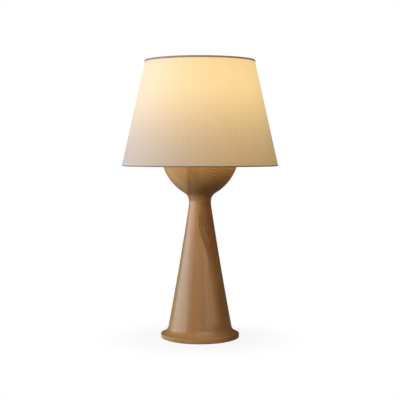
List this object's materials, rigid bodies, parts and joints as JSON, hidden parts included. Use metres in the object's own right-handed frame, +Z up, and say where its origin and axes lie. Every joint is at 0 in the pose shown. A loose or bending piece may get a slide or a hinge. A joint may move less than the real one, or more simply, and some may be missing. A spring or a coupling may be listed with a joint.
{
  "type": "table lamp",
  "caption": "Table lamp with a turned wooden trumpet column and bowl, a cone-shaped fabric shade on a wire frame, a screw-in bulb and a turn switch.",
  "frame": {"origin": "on the table, under the centre of the foot", "axes": "+Z up along the column, -Y to the front, +Y to the back where the cord enters, +X to the switch knob"},
  "size_m": [0.3009, 0.3009, 0.5335],
  "materials": {
    "turned_wood": "satin lacquer",
    "felt": "felt",
    "black_steel": "powder coat",
    "steel": "zinc plated",
    "seat_metal": "enamel",
    "bush_plastic": "moulded",
    "block_plastic": "moulded",
    "brown_insulation": "extruded",
    "blue_insulation": "extruded",
    "holder_plastic": "moulded",
    "holder_ceramic": "unglazed",
    "contact_brass": "stamped",
    "knob_plastic": "moulded",
    "white_steel": "powder coat",
    "liner_plastic": "sheet",
    "shade_fabric": "plain weave",
    "binding_fabric": "folded tape",
    "cap_metal": "rolled",
    "insulator_plastic": "moulded",
    "bulb_plastic": "moulded",
    "board_metal": "etched",
    "opal": "frosted"
  },
  "bodies": {
    "lamp_body": {"column": "turned_wood", "bowl": "turned_wood", "felt_pad": "felt", "base_plate": "black_steel", "base_plate_screws": "steel", "threaded_rod": "steel", "rod_washer": "steel", "rod_nut": "steel", "holder_lock_screw": "steel", "seat_plate": "seat_metal", "cord_bush": "bush_plastic", "terminal_block": "block_plastic", "switch_body": "block_plastic", "live_wire": "brown_insulation", "switched_wire": "brown_insulation", "neutral_wire": "blue_insulation", "holder_cap": "holder_plastic", "holder_skirt": "holder_plastic", "shade_collar": "holder_plastic", "holder_core": "holder_ceramic", "centre_contact": "contact_brass", "side_contact": "contact_brass"},
    "shade": {"shade_fitter": "white_steel", "shade_arms": "white_steel", "shade_top_ring": "white_steel", "shade_bottom_ring": "white_steel", "shade_liner": "liner_plastic", "shade_cover": "shade_fabric", "shade_top_binding": "binding_fabric", "shade_bottom_binding": "binding_fabric"},
    "switch": {"switch_spindle": "steel", "switch_knob": "knob_plastic"},
    "bulb_lift": {"bulb_tip": "contact_brass"},
    "bulb": {"bulb_insulator": "insulator_plastic", "bulb_cap": "cap_metal", "bulb_body": "bulb_plastic", "led_board": "board_metal", "bulb_globe": "opal"}
  },
  "joints": [
    {"name": "shade_turn", "type": "hinge", "parent": "lamp_body", "child": "shade", "pos_m": [0, 0, 0.4036], "axis": [0, 0, 1], "continuous": true},
    {"name": "switch_turn", "type": "hinge", "parent": "lamp_body", "child": "switch", "pos_m": [0.0225, 0, 0.38731], "axis": [1, 0, 0], "continuous": true},
    {"name": "bulb_rise", "type": "slide", "parent": "lamp_body", "child": "bulb_lift", "axis": [0, 0, 1], "range_m": [0, 0.01815]},
    {"name": "bulb_turn", "type": "hinge", "parent": "bulb_lift", "child": "bulb", "pos_m": [0, 0, 0.427], "axis": [0, 0, 1], "range_deg": [0, 1800]}
  ],
  "couplings": [
    {"joint": "bulb_rise", "follows": "bulb_turn", "m_per_rad": 0.00057757}
  ]
}
